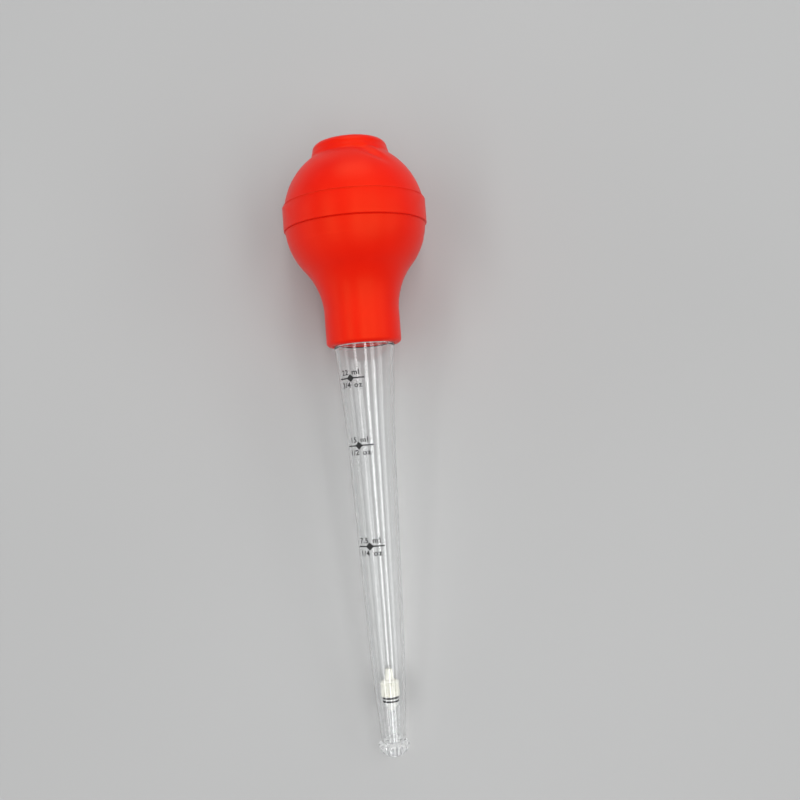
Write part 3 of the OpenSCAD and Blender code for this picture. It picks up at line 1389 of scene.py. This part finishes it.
@dataclass
class Studio:
    """Pale floor, soft lights, and the camera above the middle of the tube.

    The camera's distance, shift aside and foot station are in millimetres, as its lens and
    sensor are. The floor's side, the camera's near limit and the point at which the lamps aim
    are in metres.
    """

    axis: Axis
    floor_side: float = 6.0
    lens: float = 49.5
    sensor: float = 36.0
    near: float = 0.01
    foot_station: float = 118.21
    distance: float = 439.5
    aside: float = 12.6
    lean_deg: float = 2.774
    roll_deg: float = 4.38
    sky: float = 0.36
    sky_tint: tuple[float, float, float] = (0.95, 0.97, 1.0)
    aim: tuple[float, float, float] = (0.0, 0.0, 0.02)
    lights: tuple[SoftBox, ...] = (
        SoftBox("middle_strip", (0.10, -0.10, 1.20), (0.18, 1.6), 4.4),
        SoftBox("right_strip", (0.64, -0.10, 1.05), (0.30, 1.6), 4.2),
        SoftBox("left_strip", (-0.80, -0.10, 1.05), (0.20, 1.6), 4.4),
        SoftBox("left_window", (-1.30, -0.10, 0.30), (0.20, 1.6), 2.2),
        SoftBox("right_panel", (1.50, 0.00, 0.80), (0.50, 1.6), 4.6),
        SoftBox("far_panel", (0.10, 1.30, 0.75), (1.0, 0.4), 4.5))

    def camera(self) -> bpy.types.Object:
        """Sets the camera.

        It stands off the axis, square to it at the foot station and a little to the right,
        leans towards the bulb and is rolled about its own line of sight.

        Returns:
            The camera's object.
        """
        lean, roll = math.radians(self.lean_deg), math.radians(self.roll_deg)
        sight = -math.cos(lean) * self.axis.up + math.sin(lean) * self.axis.along
        head = math.cos(lean) * self.axis.along + math.sin(lean) * self.axis.up
        side = self.axis.across
        right = math.cos(roll) * side - math.sin(roll) * head
        top = math.sin(roll) * side + math.cos(roll) * head
        eye = (np.array(self.axis.point(0.0, self.distance, self.foot_station))
               + self.aside * MM * side)
        turn = Matrix(np.column_stack([right, top, -sight]).tolist()).to_4x4()
        data = bpy.data.cameras.new("camera")
        data.lens = self.lens
        data.sensor_width = self.sensor
        data.clip_start = self.near
        camera = bpy.data.objects.new("camera", data)
        camera.matrix_world = Matrix.Translation(Vector(eye)) @ turn
        bpy.context.scene.collection.objects.link(camera)
        bpy.context.scene.camera = camera
        return camera

    def floor(self) -> bpy.types.Object:
        """Lays the floor on the plane that the object rests on.

        Returns:
            The floor's object.
        """
        half = self.floor_side / 2.0
        corners = np.array([[-half, -half, 0], [half, -half, 0], [half, half, 0],
                            [-half, half, 0]], float)
        floor = make_piece("studio_floor", corners, [[0, 1, 2, 3]], smooth=False)
        floor.data.materials.append(FloorFinish().build())
        return floor

    def lamps(self) -> None:
        """Hangs the area lights, each turned to the object's middle, over a pale sky."""
        for box in self.lights:
            box.hang(np.array(self.aim))
        world = bpy.data.worlds.new("studio")
        bpy.context.scene.world = world
        world.use_nodes = True
        sky = world.node_tree.nodes["Background"]
        sky.inputs["Color"].default_value = (*self.sky_tint, 1.0)
        sky.inputs["Strength"].default_value = self.sky

    def build(self) -> None:
        """Builds camera, floor and lights, and keeps colours as they are mixed."""
        self.camera()
        self.floor()
        self.lamps()
        bpy.context.scene.view_settings.view_transform = "Standard"


# ---------------------------------------------------------------- assembly


def report(pieces: Sequence[bpy.types.Object]) -> None:
    """Logs each piece with its number of faces."""
    for piece in pieces:
        LOG.info("%s: %d faces", piece.name, len(piece.data.polygons))


def main() -> None:
    """Builds the studio and every sub-assembly in order, and reports each piece."""
    logging.basicConfig(level=logging.INFO, format="%(message)s")
    axis = Axis.from_record(frame["record"])
    Studio(axis).build()
    red = SiliconeFinish("red_silicone", (0.79, 0.004, 0.001), (0.85, 0.006, 0.002),
                         (0.35, 0.45), gloss=0.55, shine=(1.0, 0.55, 0.16))
    clear = ClearPlasticFinish("clear_tube_plastic", (0.985, 0.99, 0.99), axis.lie_angle)
    crystal = ClearPlasticFinish("clear_tip_plastic", (0.99, 0.995, 0.995), axis.lie_angle,
                                 haze=(0.01, 0.03), milk=0.11)
    white = MouldedPlasticFinish("white_hub_plastic", (0.62, 0.62, 0.60), (0.70, 0.70, 0.68))
    ivory = MouldedPlasticFinish("ivory_cap_plastic", (0.65, 0.64, 0.58), (0.75, 0.74, 0.67),
                                 glow=0.05)
    rubber = SiliconeFinish("black_seal_rubber", (0.006, 0.006, 0.006), (0.012, 0.012, 0.012),
                            (0.3, 0.45), 0.0)
    soft = SiliconeFinish("soft_disc_silicone", (0.66, 0.67, 0.66), (0.74, 0.75, 0.74),
                          (0.4, 0.5), 0.4)
    ink = InkFinish("black_ink")
    report([SqueezeBulb(axis, red.build()).build()])
    tube = GraduatedTube(axis, clear.build())
    report([tube.build()])
    report(PrintedScale(axis, tube, ink.build()).build())
    report([TipNozzle(axis, crystal.build()).build()])
    report(DripValve(axis, white.build(), ivory.build(), rubber.build(), soft.build()).build())


if __name__ == "__main__":
    main()
